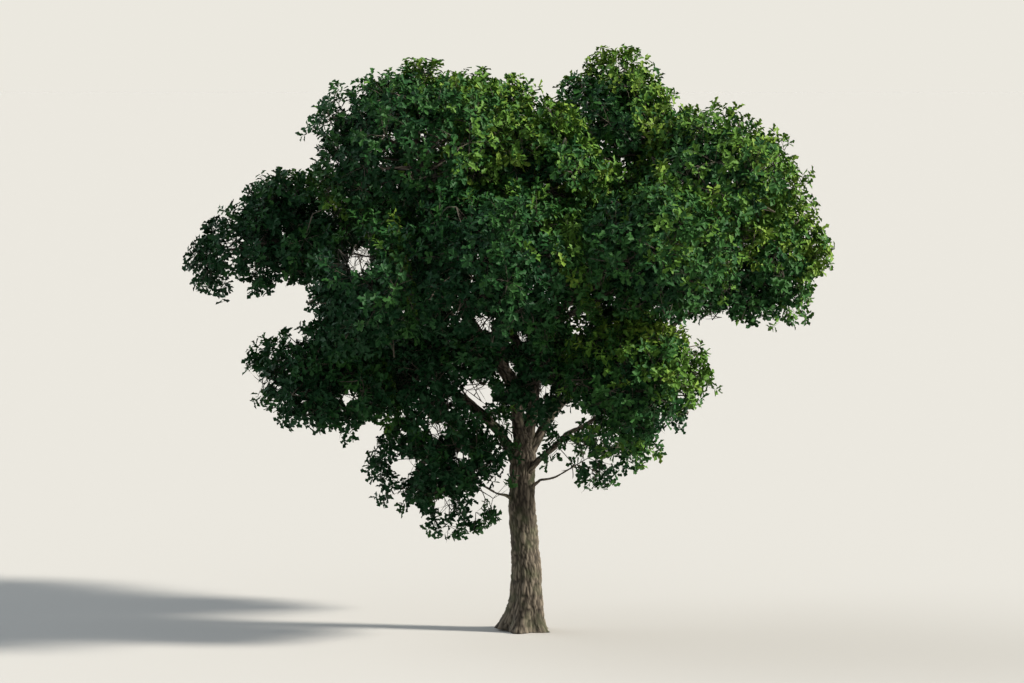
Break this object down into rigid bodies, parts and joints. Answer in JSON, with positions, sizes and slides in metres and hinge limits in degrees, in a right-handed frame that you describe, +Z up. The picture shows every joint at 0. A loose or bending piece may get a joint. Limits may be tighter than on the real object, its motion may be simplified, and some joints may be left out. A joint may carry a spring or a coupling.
{
  "type": "field oak tree",
  "caption": "Round-crowned broadleaf field tree with a short flared trunk, crooked forking boughs and separate dense masses of foliage.",
  "frame": {"origin": "middle of the flat cut under the trunk, at ground level", "axes": "+Z up the trunk, +X to the right of the pictured side, +Y away from the camera"},
  "size_m": [11.516, 9.8554, 10.3996],
  "materials": {
    "bark": "rough fissured bark",
    "foliage": "matt green leaves, yellower on the sunlit side"
  },
  "bodies": {
    "root": {"trunk": "bark", "bough_top_left": "bark", "bough_top_right": "bark", "bough_back_top": "bark", "bough_left_outer": "bark", "bough_right_outer": "bark", "bough_right_shoulder": "bark", "bough_upper_front": "bark", "bough_front_right": "bark", "bough_front": "bark", "bough_front_left": "bark", "bough_back_left": "bark", "bough_back_right": "bark", "bough_left_mid": "bark", "bough_back_low_left": "bark", "bough_back_low_right": "bark", "bough_front_right_low": "bark", "bough_inner_left": "bark", "bough_low_left": "bark", "bough_low_right": "bark", "bough_crown_middle": "bark", "bough_inner_back": "bark", "bough_inner_front": "bark", "leaves_top_left": "foliage", "leaves_top_right": "foliage", "leaves_back_top": "foliage", "leaves_left_outer": "foliage", "leaves_right_outer": "foliage", "leaves_right_shoulder": "foliage", "leaves_upper_front": "foliage", "leaves_front_right": "foliage", "leaves_front": "foliage", "leaves_front_left": "foliage", "leaves_back_left": "foliage", "leaves_back_right": "foliage", "leaves_left_mid": "foliage", "leaves_back_low_left": "foliage", "leaves_back_low_right": "foliage", "leaves_front_right_low": "foliage", "leaves_inner_left": "foliage", "leaves_low_left": "foliage", "leaves_low_right": "foliage", "leaves_crown_middle": "foliage", "leaves_inner_back": "foliage", "leaves_inner_front": "foliage"}
  },
  "joints": []
}
